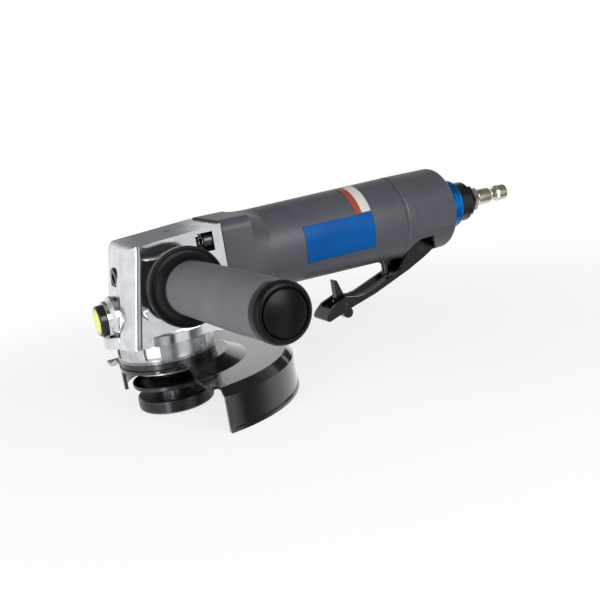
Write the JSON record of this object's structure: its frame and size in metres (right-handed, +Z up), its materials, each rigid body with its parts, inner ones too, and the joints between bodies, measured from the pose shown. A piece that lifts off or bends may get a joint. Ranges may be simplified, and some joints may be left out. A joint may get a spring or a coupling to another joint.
{
  "type": "pneumatic angle grinder",
  "caption": "Lever-operated pneumatic angle grinder: bevel gear head with side handle and wheel guard, vane air motor, throttle lever with safety latch, and a male air plug.",
  "frame": {"origin": "centre of the output spindle's lower end face, flush with the clamp nut", "axes": "+X from the spindle along the motor to the air plug, -Y towards the side handle, +Z up along the spindle to the gear head"},
  "size_m": [0.267, 0.2022, 0.0957],
  "materials": {
    "cast_aluminium": "satin",
    "black_steel": "gloss",
    "dark_steel": "satin",
    "ground_steel": "satin",
    "bright_chrome": "polished",
    "button_black": "gloss",
    "button_yellow": "gloss",
    "housing_grey": "matte",
    "label_blue": "satin",
    "sticker_orange": "satin",
    "grip_grey": "matte",
    "handle_black": "matte",
    "ring_blue": "anodised",
    "pale_brass": "satin",
    "vane_resin": "matte",
    "seal_rubber": "matte",
    "gasket_fibre": "matte",
    "silencer_felt": "matte"
  },
  "bodies": {
    "machine": {"gear_head": "cast_aluminium", "head_bolts": "dark_steel", "front_plug_screw": "dark_steel", "top_plug_screw": "dark_steel", "inlet_bushing": "dark_steel", "bearing_ring": "ground_steel", "liner_pin": "ground_steel", "handle_stud": "ground_steel", "lever_pivot_pin": "ground_steel", "throttle_spring": "ground_steel", "lock_spring": "ground_steel", "lower_spindle_bearing": "ground_steel", "upper_spindle_bearing": "ground_steel", "front_rotor_bearing": "ground_steel", "rear_rotor_bearing": "ground_steel", "cylinder_liner": "ground_steel", "front_end_plate": "ground_steel", "rear_end_plate": "ground_steel", "lock_bush": "bright_chrome", "motor_housing": "housing_grey", "rear_cap": "housing_grey", "name_label": "label_blue", "band_sticker": "sticker_orange", "handle_grip": "grip_grey", "handle_base": "handle_black", "handle_end_cap": "handle_black", "air_tube": "ring_blue", "air_plug": "pale_brass", "throttle_bushing": "pale_brass", "inlet_screen": "pale_brass", "spindle_seal": "seal_rubber", "head_gasket": "gasket_fibre", "exhaust_silencer": "silencer_felt"},
    "rotor": {"rotor": "ground_steel", "bevel_pinion": "ground_steel", "rotor_vanes": "vane_resin"},
    "spindle": {"spindle": "ground_steel", "bevel_gear": "ground_steel", "gear_clip": "ground_steel", "inner_flange": "dark_steel", "clamp_nut": "dark_steel"},
    "guard": {"guard": "black_steel", "guard_collar": "dark_steel", "guard_clamp_bolt": "dark_steel"},
    "lock_button": {"lock_button": "button_black", "lock_button_disc": "button_yellow", "lock_pin": "ground_steel"},
    "exhaust_ring": {"exhaust_ring": "ring_blue"},
    "throttle_lever": {"throttle_lever": "black_steel", "latch_pin": "ground_steel", "latch_spring": "ground_steel"},
    "safety_latch": {"safety_latch": "black_steel"},
    "throttle_pin": {"throttle_pin": "ground_steel"}
  },
  "joints": [
    {"name": "rotor_spin", "type": "hinge", "parent": "machine", "child": "rotor", "pos_m": [0.08, 0, 0.0705], "axis": [1, 0, 0], "continuous": true},
    {"name": "spindle_spin", "type": "hinge", "parent": "machine", "child": "spindle", "pos_m": [0, 0, 0.04], "axis": [0, 0, 1], "continuous": true},
    {"name": "guard_turn", "type": "hinge", "parent": "machine", "child": "guard", "pos_m": [0, 0, 0.0276], "axis": [0, 0, 1], "range_deg": [-90, 90]},
    {"name": "lock_press", "type": "slide", "parent": "machine", "child": "lock_button", "axis": [1, 0, 0], "range_m": [0, 0.004], "stiffness_N_per_m": 500, "springref_m": -0.005, "deforming": ["lock_spring"]},
    {"name": "ring_turn", "type": "hinge", "parent": "machine", "child": "exhaust_ring", "pos_m": [0.186, 0, 0.0705], "axis": [1, 0, 0], "range_deg": [-90, 90]},
    {"name": "lever_press", "type": "hinge", "parent": "machine", "child": "throttle_lever", "pos_m": [0.162, 0, 0.0496], "axis": [0, 1, 0], "range_deg": [0, 8], "stiffness_Nm_per_rad": 1.5, "springref_deg": -11.46},
    {"name": "latch_fold", "type": "hinge", "parent": "throttle_lever", "child": "safety_latch", "pos_m": [0.10623, 0, 0.02881], "axis": [0, 1, 0], "range_deg": [0, 62.1]},
    {"name": "throttle_pin_lift", "type": "slide", "parent": "machine", "child": "throttle_pin", "axis": [0, 0, 1], "range_m": [0, 0.00331], "deforming": ["throttle_spring"]}
  ],
  "couplings": [
    {"joint": "rotor_spin", "follows": "spindle_spin", "ratio": 1.8462},
    {"joint": "latch_fold", "follows": "lever_press", "ratio": 7.75},
    {"joint": "throttle_pin_lift", "follows": "lever_press", "m_per_rad": 0.02363}
  ]
}
